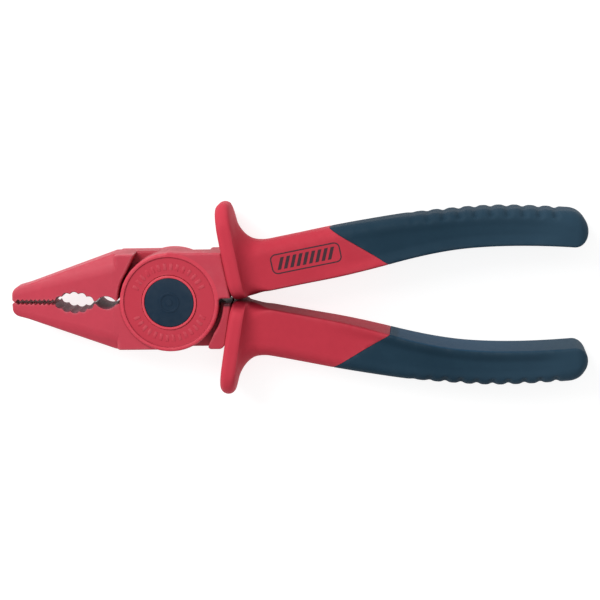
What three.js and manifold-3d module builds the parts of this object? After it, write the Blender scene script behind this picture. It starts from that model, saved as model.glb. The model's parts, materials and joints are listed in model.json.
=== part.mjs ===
// Insulated lineman pliers moulded in plastic, 217 mm long, lying flat with the jaws closed.
// Two identical levers cross at a lap joint. Each lever is a jaw, a half-thickness joint plate, a shank
// and a tang. A red sleeve with a finger guard is moulded over each tang, and a soft grip over the end of
// the sleeve. A hollow pin with a collar holds the joint, and a cap closes each end of it.
// Units are millimetres. X runs from the jaws to the handles, Y across the jaws and Z along the pivot.
// The origin is on the pivot axis, at the outer face of the rear cap.
import * as THREE from "three";
import { ConvexGeometry } from "three/addons/geometries/ConvexGeometry.js";
import { mergeVertices } from "three/addons/utils/BufferGeometryUtils.js";
import Module from "manifold-3d";

const wasm = await Module();
wasm.setup();

// ---- Driving dimensions ----
const PLATE_HALF = 10; // joint plane to the outer face of a joint plate
const BODY_HALF = 8.8; // joint plane to the flat faces of the jaws and shank blocks
const TIP_HALF = 4.8; // the same at the jaw tips, which are thinner
const LAP_GAP = 0.15; // each joint plate stays this far from the joint plane
const RUN_GAP = 0.3; // clearance between neighbouring pieces

const DISC_R = 18.7; // joint plate, round end
const PLATE_TOP = 18.65; // the plate's straight side, almost tangent to the round end
const HEAD_Y = 18.2; // half height of the head
const PLATE_BOTTOM = 1.8; // the shank's lower side, level with the joint plate
const BLOCK_TOP = 18.2; // the far half of the shank is a little lower than the plate
const BLOCK_BOTTOM = 0.8; // and reaches nearer to the axis
const STOP_ANGLE = 64; // degrees of opening at which the shoulders would meet the other lever
const JAW_STOP = 19.5; // pivot axis to the jaw's stop face
const JAW_ARC = 19.7; // and to the arc beside it
const JAW_WEB_END = 4.9; // the jaw's far half runs this close to the pivot axis
const SHANK_ARC = 20.3; // pivot axis to the hollow edge of the shank block
const SHANK_ARC_END = 38; // degrees, where that arc turns into the straight stop face

const TIP_X = -60.8;
const TIP_Y = 4.6; // half height of the closed jaws at the tip
const TIP_ROUND = 3;
const SHOULDER_X = -21.5; // the jaws taper from here to the tip
const TIP_GAP = 0.1; // half of the gap between the closed jaws at the very tip
const PARTING_TIP = 0.22; // just behind it
const PARTING_ROOT = 0.55; // and beside the joint
const EDGE_BEVEL = { width: 5, drop: 2.4 }; // outer edge of each jaw at the shoulder, fading to the tip

const SERRATIONS = { from: -59.4, to: -44.1, count: 9, depth: 0.65 };
const PIPE_RECESS = { from: -43.5, to: -28.9, depth: 2.95, scallops: 5, bite: 0.45 };
const WIRE_RECESS = { from: -27.9, to: -20.4, depth: 1.9, scallops: 1, bite: 0 };

const SPINE_START = { x: 20, y: 9.8 }; // centre line of the handle where it leaves the head
const SPINE_ANGLE = 10.9; // degrees from X
const SPINE_STRAIGHT = 64; // length before the handle starts to curve back
const SPINE_RADIUS = 258;
const HANDLE_LENGTH = 137.6;

const GUARD = { from: 1.6, thick: 6.4, outer: 26.4, inner: 10.4, half: 12.5, rim: 2.6, tip: 3.2, lean: 1 };
// Reach of the handle from its centre line: outwards, inwards and along Z.
const NECK = { outer: 8.9, inner: 9.6, half: 8 }; // red part, just behind the guard
const BELLY = { outer: 7.05, inner: 6.7, half: 10.8 }; // middle of the grip
const END = { outer: 6, inner: 7.2 };
const SEAM = { outer: 43.9, inner: 61.6, reach: 9.3 }; // the slanting end of the soft grip
const GRIP_WALL = 2.6;
const RIDGES = { from: 77, pitch: 5.77, count: 9, depth: 0.6 };
const END_ROUND = { outer: 7.6, inner: 4.2, side: 4.2 };

const PIN_R = 7.7;
const PIN_FIT = 0.1; // radial running clearance of the pin in the levers
const PIN_BORE_R = 4.5;
const PIN_HEAD_R = 10;
const PIN_END_R = 5.7;
const SEAT_Z = 6.4; // floor of the counterbore in each joint plate
const WASHER_T = 0.6;
const CAP_R = 9.3;
const CAP_T = 1.3;
const CAP_SPIGOT = 3;
const FACE_RECESS = { from: 10.3, to: 17.2, depth: 0.5 }; // textured ring around the pin
const LAP_WASHER = { inner: 8.2, outer: 15, half: 0.5 };

const ROUND_STEPS = 64; // facets on the joint plate
const PIN_STEPS = 40;
const RING_STEPS = 20; // points around a handle section

// ---- Materials ----
const plastic = (color, roughness) => new THREE.MeshStandardMaterial({ color, roughness, metalness: 0 });
const RED = plastic(0xc9303c, 0.55);
const HANDLE_RED = plastic(0xc42c39, 0.45);
const NAVY = plastic(0x263c4c, 0.6);
const NATURAL = plastic(0xe8e4d8, 0.4);

// ---- Helpers ----
const rad = THREE.MathUtils.degToRad;
const lerp = THREE.MathUtils.lerp;
const smooth = THREE.MathUtils.smoothstep; // (value, from, to)

function solid(geometry) {
  const merged = mergeVertices(strip(geometry), 1e-4);
  const triVerts = new Uint32Array(merged.index.array);
  const made = new wasm.Manifold(
    new wasm.Mesh({ numProp: 3, vertProperties: merged.attributes.position.array, triVerts }),
  );
  if (made.volume() > 0) return made;
  const flipped = triVerts.reverse();
  return new wasm.Manifold(
    new wasm.Mesh({ numProp: 3, vertProperties: merged.attributes.position.array, triVerts: flipped }),
  );
}

function strip(geometry) {
  const bare = geometry.clone();
  bare.deleteAttribute("normal");
  bare.deleteAttribute("uv");
  return bare;
}

function mesh(name, made, material) {
  const { vertProperties, triVerts, numProp, numVert } = made.getMesh();
  const points = new Float32Array(numVert * 3);
  for (let i = 0; i < numVert; i++) {
    points.set(vertProperties.subarray(i * numProp, i * numProp + 3), i * 3);
  }
  const geometry = new THREE.BufferGeometry();
  geometry.setAttribute("position", new THREE.BufferAttribute(points, 3));
  geometry.setIndex(new THREE.BufferAttribute(triVerts, 1));
  geometry.computeVertexNormals();
  const built = new THREE.Mesh(geometry, material);
  built.name = name;
  return built;
}

// A plan outline given as [x, y] corners, raised from z0 to z1.
function slab(corners, z0, z1) {
  const shape = new THREE.Shape(corners.map(([x, y]) => new THREE.Vector2(x, y)));
  const geometry = new THREE.ExtrudeGeometry(shape, { depth: z1 - z0, bevelEnabled: false });
  return solid(geometry.translate(0, 0, z0));
}

// A solid of revolution about Z from [r, z] corners.
function turned(corners, steps) {
  const outline = [...corners, corners[0]].map(([r, z]) => new THREE.Vector2(r, z));
  return solid(new THREE.LatheGeometry(outline, steps).rotateX(Math.PI / 2));
}

const disc = (r, z0, z1, steps) => turned([[0, z0], [r, z0], [r, z1], [0, z1]], steps);
const ring = (r0, r1, z0, z1, steps) => turned([[r0, z0], [r1, z0], [r1, z1], [r0, z1]], steps);

function hull(points) {
  return solid(new ConvexGeometry(points.map((p) => new THREE.Vector3(...p))));
}

const polar = (r, degrees) => [r * Math.cos(rad(degrees)), r * Math.sin(rad(degrees))];

// ---- Handle centre line ----
// The frame at a distance s along the spine: straight first, then an arc that curves back towards the
// other handle.
function spine(s) {
  const start = rad(SPINE_ANGLE);
  const along = Math.min(s, SPINE_STRAIGHT);
  const bend = Math.max(0, s - SPINE_STRAIGHT) / SPINE_RADIUS;
  const angle = start - bend;
  const x = SPINE_START.x + along * Math.cos(start) + SPINE_RADIUS * (Math.sin(start) - Math.sin(angle));
  const y = SPINE_START.y + along * Math.sin(start) + SPINE_RADIUS * (Math.cos(angle) - Math.cos(start));
  return { x, y, tx: Math.cos(angle), ty: Math.sin(angle) };
}

// A point at s along the spine and o outwards from it.
function beside(s, o) {
  const { x, y, tx, ty } = spine(s);
  return [x - ty * o, y + tx * o];
}

// A closed body lofted along the spine. section(s) gives outer, inner and half, its reach from the spine
// outwards, inwards and along Z, power, which is 2 for an ellipse and more for a squarer section,
// innerPower, the same for the inner side, and lean, which moves the outer side along the spine.
function loft(stations, section, steps) {
  const points = [];
  const index = [];
  for (const s of stations) {
    const { outer, inner, half, power, innerPower = power, lean = 0 } = section(s);
    for (let i = 0; i < steps; i++) {
      const turn = (2 * Math.PI * (i + 0.5)) / steps;
      const [cos, sin] = [Math.cos(turn), Math.sin(turn)];
      const squareness = 2 / (cos > 0 ? power : innerPower);
      const out = Math.abs(cos) ** squareness * (cos > 0 ? outer : -inner);
      const up = Math.sign(sin) * Math.abs(sin) ** squareness;
      points.push(...beside(s + out * lean, out), up * half);
    }
  }
  const rows = stations.length;
  for (let j = 0; j + 1 < rows; j++) {
    for (let i = 0; i < steps; i++) {
      const [a, b] = [j * steps + i, j * steps + ((i + 1) % steps)];
      index.push(a, a + steps, b, b, a + steps, b + steps);
    }
  }
  for (const [row, flip] of [[0, false], [rows - 1, true]]) {
    const centre = points.length / 3;
    const { x, y } = spine(stations[row]);
    points.push(x, y, 0);
    for (let i = 0; i < steps; i++) {
      const [a, b] = [row * steps + i, row * steps + ((i + 1) % steps)];
      index.push(...(flip ? [centre, b, a] : [centre, a, b]));
    }
  }
  const geometry = new THREE.BufferGeometry();
  geometry.setAttribute("position", new THREE.BufferAttribute(new Float32Array(points), 3));
  return solid(geometry.setIndex(index));
}

const steps = (from, to, count) => Array.from({ length: count + 1 }, (_, i) => lerp(from, to, i / count));

// How far a rounded end of radius r pulls the surface in, at a distance d from the end.
const endInset = (d, r) => (d >= r ? 0 : r - Math.sqrt(Math.max(0, r * r - (r - d) ** 2)));

// ---- Outer form of the handle, guard and grip together ----
const guardEnd = GUARD.from + GUARD.thick;
const GUARD_LEAN = Math.tan(rad(GUARD.lean));

// Height of the guard above the handle: rounded over its thickness, then a hollow fall to the handle.
function guardRise(s, rise, round, fall) {
  const top = 0.96 * rise;
  if (s < GUARD.from + GUARD.thick / 2) return rise - endInset(s - GUARD.from, round);
  if (s < guardEnd) return Math.max(top, rise - endInset(guardEnd - s, round));
  const t = Math.min(1, (s - guardEnd) / fall);
  return top * (1 - Math.sqrt(1 - (1 - t) ** 2)) ** 1.25;
}

function ridgeDepth(s) {
  const t = (s - RIDGES.from) / RIDGES.pitch;
  if (t <= 0 || t >= RIDGES.count + 0.5) return 0;
  const grow = Math.min(1, t / 3 + 0.3);
  return RIDGES.depth * grow * (0.5 + 0.5 * Math.cos(2 * Math.PI * t));
}

function handleForm(s) {
  const [toBelly, toEnd] = [smooth(s, 38, 94), smooth(s, 94, 132)];
  const reach = (side) => lerp(lerp(NECK[side], BELLY[side], toBelly), END[side], toEnd);
  const [outer, inner] = [reach("outer"), reach("inner")];
  const half = lerp(NECK.half, BELLY.half, smooth(s, 24, 86));
  const end = (round) => endInset(HANDLE_LENGTH - s, round);
  const behind = smooth(s, guardEnd, guardEnd + 8);
  return {
    outer: outer + guardRise(s, GUARD.outer - outer, GUARD.tip, 12) - end(END_ROUND.outer) - ridgeDepth(s),
    inner: inner + guardRise(s, GUARD.inner - inner, GUARD.rim, 6) - end(END_ROUND.inner),
    half: half + guardRise(s, GUARD.half - half, GUARD.rim, 6.5) - end(END_ROUND.side),
    power: lerp(2.7, 4, behind),
    innerPower: lerp(2.7, 8, behind),
    lean: GUARD_LEAN * (1 - smooth(s, guardEnd, guardEnd + 12)),
  };
}

const rimStations = [0, 0.2, 0.8, 1.8, 3.2, 4.6, 5.7, 6.3].map((d) => GUARD.from + d);
const fallStations = [0.1, 0.8, 1.8, 3.2, 5, 7.5, 10.5].map((d) => guardEnd + d);
const ridgesEnd = RIDGES.from + RIDGES.pitch * (RIDGES.count + 0.5);
const ridgeStations = steps(RIDGES.from, ridgesEnd, 2 * RIDGES.count + 1);
const endStations = [0, 0.35, 1.2, 2.6, 4.6, 7.6].map((d) => HANDLE_LENGTH - d).reverse();
const plainStations = [28, 38, 48, 58, 68];
const outerStations = [
  ...rimStations,
  ...fallStations,
  ...plainStations,
  ...ridgeStations,
  ...endStations,
];

// The sleeve goes on inside the soft grip as a plain core. With extra it is the room for that core.
const core = (extra) => (s) => {
  const { outer, inner, half } = handleForm(s);
  const cut = GRIP_WALL - extra;
  const plainOuter = outer + ridgeDepth(s) - RIDGES.depth;
  return { outer: plainOuter - cut, inner: inner - cut, half: half - cut, power: 3.2 };
};

// The lever goes on inside the sleeve as a tang that narrows towards the end.
const tang = (extra) => (s) => {
  const width = lerp(6.4, 2.2, smooth(s, 0, 110)) + extra;
  return { outer: width, inner: width, half: lerp(5.6, 4, smooth(s, 0, 30)) + extra, power: 5 };
};

const TANG_END = HANDLE_LENGTH - 12;
const CORE_END = HANDLE_LENGTH - 6;

// Everything on one side of the slanting seam, moved along the handle by a gap.
function seamSide(gap, towardsEnd) {
  const [ox, oy] = beside(SEAM.outer + gap, SEAM.reach);
  const [ix, iy] = beside(SEAM.inner + gap, -SEAM.reach);
  const [dx, dy] = [(ox - ix) * 2, (oy - iy) * 2];
  const [x0, y0] = [ix - dx, iy - dy];
  const [x1, y1] = [ox + dx, oy + dy];
  const far = towardsEnd ? 200 : -200;
  return slab([[x0, y0], [x1, y1], [x1 + far, y1], [x0 + far, y0]], -40, 40);
}

// ---- Lever ----
const parting = (x) => lerp(PARTING_TIP, PARTING_ROOT, (x - TIP_X) / (-DISC_R - TIP_X));

// A hollow in the jaw face between from and to, as [x, y] corners below the parting line.
function recess({ from, to, depth, scallops, bite }) {
  const width = to - from;
  const r = (width * width) / 8 / depth + depth / 2;
  const middle = (from + to) / 2;
  const sweep = Math.asin(width / 2 / r);
  const perScallop = scallops > 1 ? 4 : 10;
  const corners = [];
  for (let i = 0; i <= scallops * perScallop; i++) {
    const t = i / (scallops * perScallop);
    const turn = lerp(-sweep, sweep, t);
    const reach = r + bite * Math.abs(Math.sin(Math.PI * t * scallops));
    const x = middle + reach * Math.sin(turn);
    corners.push([x, -parting(x) + r - depth - reach * Math.cos(turn)]);
  }
  return corners;
}

function serrations({ from, to, count, depth }) {
  const corners = [];
  for (let i = 0; i <= 2 * count; i++) {
    const x = lerp(from, to, i / (2 * count));
    corners.push([x, -parting(x) - (i % 2) * depth]);
  }
  return corners;
}

// Lower jaw in plan, from the tip to inside the joint plate.
function jawOutline(root) {
  const slope = (HEAD_Y - TIP_Y) / (SHOULDER_X - TIP_X);
  const round = steps(180, 255, 5).map((a) => {
    const [dx, dy] = polar(TIP_ROUND, a);
    return [TIP_X + TIP_ROUND + dx, -TIP_Y + TIP_ROUND * 0.6 + dy];
  });
  return [
    ...round,
    [TIP_X + TIP_ROUND * 2, -TIP_Y - slope * TIP_ROUND * 2],
    [SHOULDER_X, -HEAD_Y],
    [root, -HEAD_Y],
    [root, -PARTING_ROOT],
    ...recess(WIRE_RECESS).reverse(),
    ...recess(PIPE_RECESS).reverse(),
    ...serrations(SERRATIONS).reverse(),
    [SERRATIONS.from - 0.2, -TIP_GAP],
    [TIP_X + 0.2, -TIP_GAP],
  ];
}

// The jaw is full thickness, thinning to the tip, with a bevel along both outer edges.
function jawBody() {
  const profile = [
    [TIP_X - 1, -TIP_HALF],
    [SHOULDER_X, -BODY_HALF],
    [0, -BODY_HALF],
    [0, BODY_HALF],
    [SHOULDER_X, BODY_HALF],
    [TIP_X - 1, TIP_HALF],
  ];
  const side = slab(profile, 0, HEAD_Y * 2).rotate([90, 0, 0]).translate([0, HEAD_Y, 0]);
  const body = slab(jawOutline(-JAW_WEB_END), -BODY_HALF, BODY_HALF).intersect(side);
  const bevel = hull([
    [TIP_X, -TIP_Y, TIP_HALF],
    [SHOULDER_X, -HEAD_Y + EDGE_BEVEL.width, BODY_HALF],
    [SHOULDER_X, -HEAD_Y - 1, BODY_HALF - EDGE_BEVEL.drop * (1 + 1 / EDGE_BEVEL.width)],
    [TIP_X, -TIP_Y - 1, TIP_HALF - 0.3],
    [TIP_X, -TIP_Y, TIP_HALF + 8],
    [SHOULDER_X, -HEAD_Y + EDGE_BEVEL.width, BODY_HALF + 8],
    [SHOULDER_X, -HEAD_Y - 1, BODY_HALF + 8],
    [TIP_X, -TIP_Y - 1, TIP_HALF + 8],
  ]);
  return body.subtract(bevel).subtract(bevel.mirror([0, 0, 1]));
}

// Room for the other lever's joint plate, on the far side of the joint plane: a round pocket on each side of
// the axis, and beyond it the straight stop face, which leans by the opening angle.
function lapClearance() {
  const depth = [-PLATE_HALF - 1, LAP_GAP];
  const [leanX, leanY] = polar(30, 180 - STOP_ANGLE);
  const jawTouch = polar(JAW_STOP, 180 + 90 - STOP_ANGLE);
  const jawStop = slab([[0, 0], jawTouch, [jawTouch[0] - leanX, jawTouch[1] - leanY], [0, -40]], ...depth);
  const shankTouch = polar(SHANK_ARC, SHANK_ARC_END);
  const shankFar = [shankTouch[0] + leanX, shankTouch[1] + leanY];
  const shankStop = slab([[0, 0], shankTouch, shankFar, [0, 40]], ...depth);
  const shankPocket = disc(SHANK_ARC, ...depth, ROUND_STEPS).intersect(
    slab([[0, 0], [40, 0], [40, 40], [0, 40]], ...depth),
  );
  return disc(JAW_ARC, ...depth, ROUND_STEPS).add(jawStop).add(shankPocket).add(shankStop);
}

function shankBody() {
  const [x0, y0] = beside(GUARD.from - RUN_GAP - 14 * GUARD_LEAN, -14);
  const [x1, y1] = beside(GUARD.from - RUN_GAP + 14 * GUARD_LEAN, 14);
  const plan = (bottom, top) => [[0, bottom], [40, bottom], [40, top], [0, top]];
  const behindGuard = slab([[x0, y0], [x0 + 60, y0], [x1 + 60, y1], [x1, y1]], -40, 40);
  return slab(plan(PLATE_BOTTOM, PLATE_TOP), LAP_GAP - 0.1, PLATE_HALF)
    .add(slab(plan(BLOCK_BOTTOM, BLOCK_TOP), -BODY_HALF, LAP_GAP))
    .subtract(behindGuard);
}

function lever() {
  const plate = disc(DISC_R, LAP_GAP, PLATE_HALF, ROUND_STEPS);
  const seat = disc(PIN_HEAD_R + RUN_GAP, SEAT_Z, PLATE_HALF + 1, PIN_STEPS);
  const bore = disc(PIN_R + PIN_FIT, -1, PLATE_HALF, PIN_STEPS);
  const face = disc(FACE_RECESS.to, PLATE_HALF - FACE_RECESS.depth, PLATE_HALF + 1, ROUND_STEPS);
  const lapRecess = disc(LAP_WASHER.outer + RUN_GAP, -1, LAP_WASHER.half + LAP_GAP, PIN_STEPS);
  return jawBody()
    .add(shankBody())
    .subtract(lapClearance())
    .add(plate)
    .add(loft(steps(-3, TANG_END, 9), tang(0), 8).subtract(disc(SHANK_ARC, -20, 20, ROUND_STEPS)))
    .subtract(seat)
    .subtract(bore)
    .subtract(face)
    .subtract(lapRecess);
}

// ---- Handle sleeve and soft grip ----
function sleeve() {
  const form = loft(outerStations, handleForm, RING_STEPS);
  const inside = loft(steps(38, CORE_END, 8), core(0), 12);
  const cavity = loft(steps(-4, TANG_END + RUN_GAP, 9), tang(RUN_GAP), 8);
  return form.intersect(seamSide(0, false)).add(inside).subtract(cavity);
}

function grip() {
  const form = loft(outerStations, handleForm, RING_STEPS);
  const inside = loft(steps(38, CORE_END + RUN_GAP, 8), core(RUN_GAP), 12);
  return form.intersect(seamSide(RUN_GAP, true)).subtract(inside);
}

// ---- Pivot ----
const capSeat = PLATE_HALF - CAP_T - 0.1; // floor of the recess that holds a cap

function pivotPin() {
  const head = SEAT_Z + WASHER_T + 0.2;
  return turned(
    [
      [PIN_BORE_R, -capSeat],
      [PIN_END_R, -capSeat],
      [PIN_END_R, -head],
      [PIN_R, -head],
      [PIN_R, head],
      [PIN_HEAD_R, head],
      [PIN_HEAD_R, PLATE_HALF],
      [CAP_R + 0.15, PLATE_HALF],
      [CAP_R + 0.15, capSeat],
      [PIN_BORE_R, capSeat],
    ],
    PIN_STEPS,
  );
}

function pivotCollar() {
  const back = SEAT_Z + WASHER_T + 0.3;
  return turned(
    [
      [PIN_END_R + 0.1, -capSeat],
      [CAP_R + 0.15, -capSeat],
      [CAP_R + 0.15, -PLATE_HALF],
      [PIN_HEAD_R, -PLATE_HALF],
      [PIN_HEAD_R, -back],
      [PIN_END_R + 0.1, -back],
    ],
    PIN_STEPS,
  );
}

// A cap is a disc with a short spigot that goes into the pin's bore.
function cap() {
  const inner = capSeat + 0.1;
  return turned(
    [
      [0, inner - CAP_SPIGOT],
      [PIN_BORE_R - 0.2, inner - CAP_SPIGOT],
      [PIN_BORE_R - 0.2, inner],
      [CAP_R, inner],
      [CAP_R, PLATE_HALF],
      [0, PLATE_HALF],
    ],
    PIN_STEPS,
  );
}

function seatWasher() {
  const low = SEAT_Z + 0.1;
  return ring(PIN_R + 0.1, PIN_HEAD_R, low, low + WASHER_T, PIN_STEPS);
}

function lapWasher() {
  const { inner, outer, half } = LAP_WASHER;
  return ring(inner, outer, -half, half, PIN_STEPS);
}

// ---- Assembly ----
// The rear half is the front half turned over about the long axis.
const turnedOver = (made) => made.rotate([180, 0, 0]);

const leverSolid = lever();
const sleeveSolid = sleeve();
const gripSolid = grip();
const capSolid = cap();

const pliers = new THREE.Group();
pliers.name = "lineman_pliers";
pliers.add(
  mesh("front_lever", leverSolid, RED),
  mesh("rear_lever", turnedOver(leverSolid), RED),
  mesh("upper_handle_sleeve", sleeveSolid, HANDLE_RED),
  mesh("lower_handle_sleeve", turnedOver(sleeveSolid), HANDLE_RED),
  mesh("upper_soft_grip", gripSolid, NAVY),
  mesh("lower_soft_grip", turnedOver(gripSolid), NAVY),
  mesh("pivot_pin", pivotPin(), RED),
  mesh("pivot_collar", pivotCollar(), RED),
  mesh("front_pivot_cap", capSolid, NAVY),
  mesh("rear_pivot_cap", turnedOver(capSolid), NAVY),
  mesh("joint_washer", lapWasher(), NATURAL),
  mesh("pin_head_washer", seatWasher(), NATURAL),
  mesh("collar_washer", turnedOver(seatWasher()), NATURAL),
);
for (const piece of pliers.children) piece.position.z = PLATE_HALF;

export default pliers;
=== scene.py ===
"""Looks of the insulated plastic lineman pliers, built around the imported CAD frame.

Drawing units are millimetres from the pivot axis and the joint's mid-plane; built() turns them into metres
in the row frame. The two levers are one moulding turned over, and so are the two handles.
"""

import json
import math

import bpy
import numpy as np
import openvdb
from mathutils import Matrix, Vector


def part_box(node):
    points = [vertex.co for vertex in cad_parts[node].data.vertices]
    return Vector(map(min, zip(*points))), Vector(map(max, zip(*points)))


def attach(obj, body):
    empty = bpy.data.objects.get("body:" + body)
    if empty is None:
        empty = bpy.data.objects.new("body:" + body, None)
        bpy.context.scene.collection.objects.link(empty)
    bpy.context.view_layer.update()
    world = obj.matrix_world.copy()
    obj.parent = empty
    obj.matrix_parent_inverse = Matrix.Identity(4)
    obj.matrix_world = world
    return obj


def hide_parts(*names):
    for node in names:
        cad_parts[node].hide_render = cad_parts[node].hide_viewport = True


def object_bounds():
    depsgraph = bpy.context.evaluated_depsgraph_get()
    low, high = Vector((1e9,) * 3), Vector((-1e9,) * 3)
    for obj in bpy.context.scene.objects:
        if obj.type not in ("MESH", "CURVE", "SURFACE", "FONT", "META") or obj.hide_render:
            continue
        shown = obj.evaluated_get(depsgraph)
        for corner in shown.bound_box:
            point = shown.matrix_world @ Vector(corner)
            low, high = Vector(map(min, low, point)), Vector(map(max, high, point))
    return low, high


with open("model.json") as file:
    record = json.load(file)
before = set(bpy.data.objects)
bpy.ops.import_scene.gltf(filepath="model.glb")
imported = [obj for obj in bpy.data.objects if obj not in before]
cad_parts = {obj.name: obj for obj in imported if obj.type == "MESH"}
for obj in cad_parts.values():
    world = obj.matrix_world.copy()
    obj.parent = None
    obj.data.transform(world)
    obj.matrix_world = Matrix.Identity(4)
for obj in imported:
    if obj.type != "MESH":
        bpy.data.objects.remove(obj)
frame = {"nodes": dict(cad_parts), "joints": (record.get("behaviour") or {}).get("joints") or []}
bounds_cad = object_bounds()

MM = 0.001
PIVOT = Vector(frame["joints"][0]["pos_m"])
FRONT_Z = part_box("front_lever")[1].z
REAR_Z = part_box("rear_lever")[0].z
PIVOT.z = (FRONT_Z + REAR_Z) / 2

# ---- Sizes of the lever ----
PLATE_HALF = (FRONT_Z - REAR_Z) / 2 / MM
TIP_X = (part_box("front_lever")[0].x - PIVOT.x) / MM
BODY_HALF = 8.8
TIP_HALF = 4.8
LAP_GAP = 0.15
BLOCK_OVERLAP = 0.3
GUARD_GAP = 0.06
TEETH_GAP = 0.08
DISC_R = 18.7
HEAD_Y = 18.2
TIP_Y = 4.6
TIP_ROUND = 3.0
TIP_STEPS = 8
TIP_CHAMFER = (0.7, 0.75)
SHOULDER_X = -21.5
STOP_ANGLE = 64
JAW_STOP = 19.5
JAW_ARC = 19.7
JAW_WEB_END = 4.9
SHANK_ARC = 20.3
SHANK_ARC_END = 38
PLATE_TOP = 18.65
PLATE_BOTTOM = 1.3
BLOCK_TOP = 18.2
BLOCK_BOTTOM = 0.8
PARTING_TIP = 0.22
PARTING_ROOT = 0.55
TEETH = {"from": -59.3, "to": -43.9, "count": 9, "depth": 0.75}
PIPE = {"from": -44.0, "to": -28.9, "depth": 2.85, "scallops": 5, "bite": 0.75}
WIRE = {"from": -27.9, "to": -20.4, "depth": 1.9, "scallops": 1, "bite": 0.0}
BEVEL_WIDTH = 5.0
BEVEL_DROP = 2.4
BEVEL_END = 1.0
BEVEL_RUNOUT = 0.6
PART_ROUND = 0.2
JOIN_FILLET = 0.25
SEAT_ROOM = 0.12
EDGE_ROUND = {"bevel": 0.8, "plate": 0.8, "root": 1.2, "block": 0.6, "corner": 2.0, "lap": 0.8, "face": 0.4}
PIN_HEAD_R = 10.3
PIN_BORE_R = 7.8
SEAT_Z = 6.4
FACE_R = 17.1
FACE_DEPTH = 0.45
BAR_COUNT = 36
BAR_R = 13.6
BAR_LENGTH = 2.6
BAR_WIDTH = 1.2
BAR_HEIGHT = 0.07
BAR_GAP = 5.2
WASHER_SEAT_R = 15.3
WASHER_SEAT_Z = 0.65
VOXEL = 0.28
MOST_TRIANGLES = 150000

# ---- Sizes of the handle ----
SPINE_X = 20.0
SPINE_Y = 9.8
SPINE_ANGLE = math.radians(10.9)
SPINE_STRAIGHT = 64.0
SPINE_RADIUS = 258.0
LENGTH = 137.6
GUARD = {"from": 1.6, "thick": 6.4, "outer": 26.1, "inner": 10.4, "half": 12.38}
GUARD_END = GUARD["from"] + GUARD["thick"]
GUARD_LEAN = math.tan(math.radians(1))
NECK = {"outer": 8.9, "inner": 9.6, "half": 7.2}
BELLY = {"outer": 7.05, "inner": 6.7, "half": 10.8}
END = {"outer": 6.0, "inner": 7.0}
END_ROUND = {"outer": 7.6, "inner": 5.0, "half": 4.2}
BELLY_SPAN = (38, 94)
BELLY_THICKENS = (24, 86)
END_SPAN = (94, 132)
BEAD_ROUND = {"outer": 3.2, "inner": 2.6, "half": 2.2}
BEAD_SHARE = 0.9
GUARD_FALL = {"outer": 12.5, "half": 8.0}
LOBE_FALL = (9, 15)
SOFT_ROUND = {"guard": 9.0, "handle": 5.5}
CRISP_ROUND = {"guard": 6.5, "handle": 1.0}
CROWN = {"guard": 0.9, "handle": 0.1}
DISH_DEPTH = 1.3
DISH_SPAN = (30, 66)
SEAM_OUTER = 42.4
SEAM_INNER = 62.9
SEAM_REACH = 9.3
GRIP_WALL = 2.5
RIDGE_FROM = 73.4
RIDGE_PITCH = 5.77
RIDGE_COUNT = 9
RIDGE_DEPTH = 0.55
RIDGE_REACH = 3.4
SLEEVE_GAP = 0.06
SLEEVE_PLAIN_TO = 38
GRIP_PLAIN_FROM = 68
CORE_FROM = 62
SEAM_PULL = 0.18

# ---- Colours, linear ----
RED_LEVER = (0.53, 0.042, 0.072)
RED_SLEEVE = (0.50, 0.039, 0.062)
RED_PIN = (0.68, 0.05, 0.08)
NAVY_GRIP = (0.014, 0.038, 0.062)
NAVY_CAP = (0.004, 0.021, 0.045)
NATURAL = (0.75, 0.72, 0.64)
INK = (0.03, 0.032, 0.04)
FACE_RED = (0.52, 0.022, 0.046)
# painted highlight: the rim round the joint face is paler and redder
RIM_HIGHLIGHT_RED = (0.72, 0.04, 0.075)
# painted highlight on the guard's bead
BEAD_HIGHLIGHT_RED = (0.62, 0.05, 0.08)
# painted shadow line in the groove round the joint face
GROOVE_SHADOW = (0.08, 0.0, 0.01)
# painted shade on the web between jaw and joint
WEB_SHADE = (0.3, 0.008, 0.02)
# painted shade on the sides of the shank and the far block
SHANK_SHADE = (0.28, 0.008, 0.02)
# painted shade, near black, in the slit between the shanks
SLIT_SHADE = (0.03, 0.003, 0.008)
# painted shade, purple grey, on the walls of the jaw's hollows
BITE_SHADE = (0.085, 0.035, 0.06)
# painted shade on the sleeve's inner side, darkest beside the guard
SLEEVE_SIDE_SHADE = (0.13, 0.001, 0.008)
# the grip turns paler towards its end
GRIP_END_PALE = (0.035, 0.075, 0.115)
# painted light on the grip's inner side
GRIP_SIDE_LIGHT = (0.028, 0.075, 0.135)
BADGE = {"along": 32.2, "across": -0.1, "half_length": 13.3, "half_width": 3.8, "corner": 2.2}


# ======== Signed distance shapes, negative inside ========
def length2(a, b):
    return np.sqrt(a * a + b * b)


def rmax(a, b, r):
    """Intersection whose convex edge is rounded with radius r."""
    return np.minimum(np.maximum(a, b), -r) + length2(np.maximum(a + r, 0), np.maximum(b + r, 0))


def rmin(a, b, r):
    """Union with a fillet of radius r in the corner."""
    return np.maximum(np.minimum(a, b), r) - length2(np.maximum(r - a, 0), np.maximum(r - b, 0))


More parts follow.
